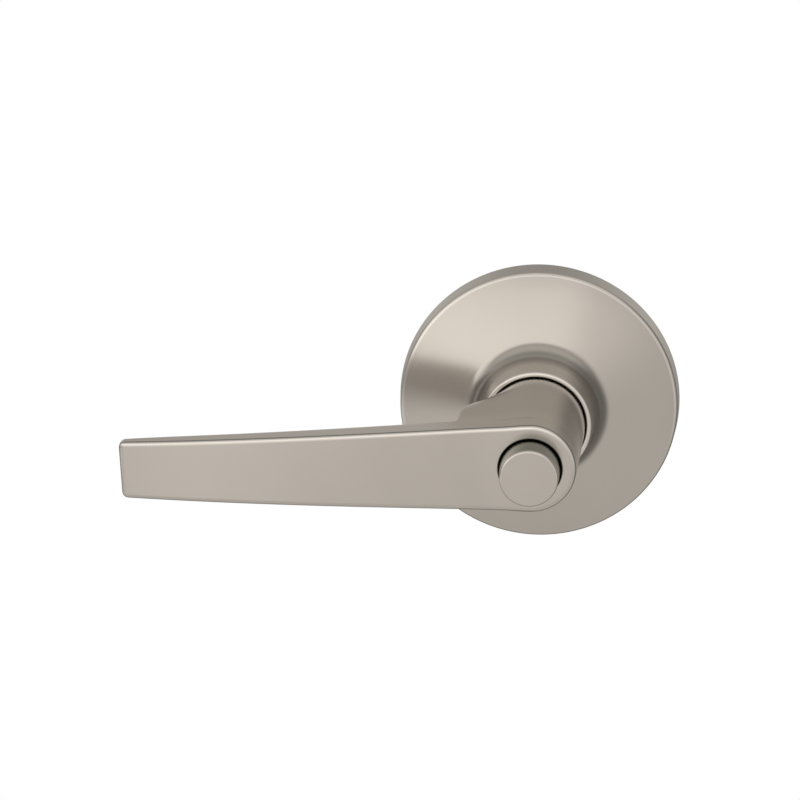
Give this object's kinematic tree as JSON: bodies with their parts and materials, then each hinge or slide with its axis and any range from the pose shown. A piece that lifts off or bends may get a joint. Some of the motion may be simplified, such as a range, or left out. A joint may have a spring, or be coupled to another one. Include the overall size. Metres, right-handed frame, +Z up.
{
  "type": "door lever handle",
  "caption": "Privacy door lever on a round flared rose, with a flat tapered arm, a push button in the hub, and a spring cage, spindle and bolts behind.",
  "frame": {"origin": "on the lever's turning axis, in the plane of the door's face that the rose rests on", "axes": "+X from the lever's tip towards its hub, +Y into the door along the turning axis, +Z up"},
  "size_m": [0.1282, 0.1062, 0.068],
  "materials": {
    "satin_nickel": "satin nickel plate, fine brushed",
    "zinc_plate": "bright zinc plated steel",
    "plain_steel": "machined steel",
    "spring_steel": "oiled spring steel",
    "cast_zinc": "as-cast zinc alloy",
    "white_nylon": "moulded nylon",
    "black_oxide_steel": "black oxide"
  },
  "bodies": {
    "rose_assembly": {"rose_cover": "satin_nickel", "mounting_plate": "zinc_plate", "spring_cage": "zinc_plate", "neck_bushing": "white_nylon", "return_spring": "spring_steel", "stop_pin_upper": "plain_steel", "stop_pin_lower": "plain_steel", "bolt_washer_left": "plain_steel", "bolt_washer_right": "plain_steel", "through_bolt_left": "zinc_plate", "through_bolt_right": "zinc_plate", "rose_clip_top": "spring_steel", "rose_clip_left": "spring_steel", "rose_clip_right": "spring_steel"},
    "lever": {"lever_handle": "satin_nickel", "drive_tube": "cast_zinc", "return_cam": "plain_steel", "thrust_washer": "plain_steel", "retaining_ring": "spring_steel", "spindle": "plain_steel", "spindle_collar": "plain_steel", "lever_set_screw": "black_oxide_steel", "button_guide": "white_nylon", "button_spring": "spring_steel"},
    "push_button": {"button_cap": "satin_nickel", "lock_rod": "plain_steel", "rod_clip": "spring_steel"}
  },
  "joints": [
    {"name": "lever_turn", "type": "hinge", "parent": "rose_assembly", "child": "lever", "pos_m": [0, 0, 0], "axis": [0, -1, 0], "range_deg": [-45, 45], "stiffness_Nm_per_rad": 2, "deforming": ["return_spring"]},
    {"name": "button_press", "type": "slide", "parent": "lever", "child": "push_button", "axis": [0, 1, 0], "range_m": [0, 0.0035], "stiffness_N_per_m": 500, "springref_m": -0.004, "deforming": ["button_spring"]}
  ]
}
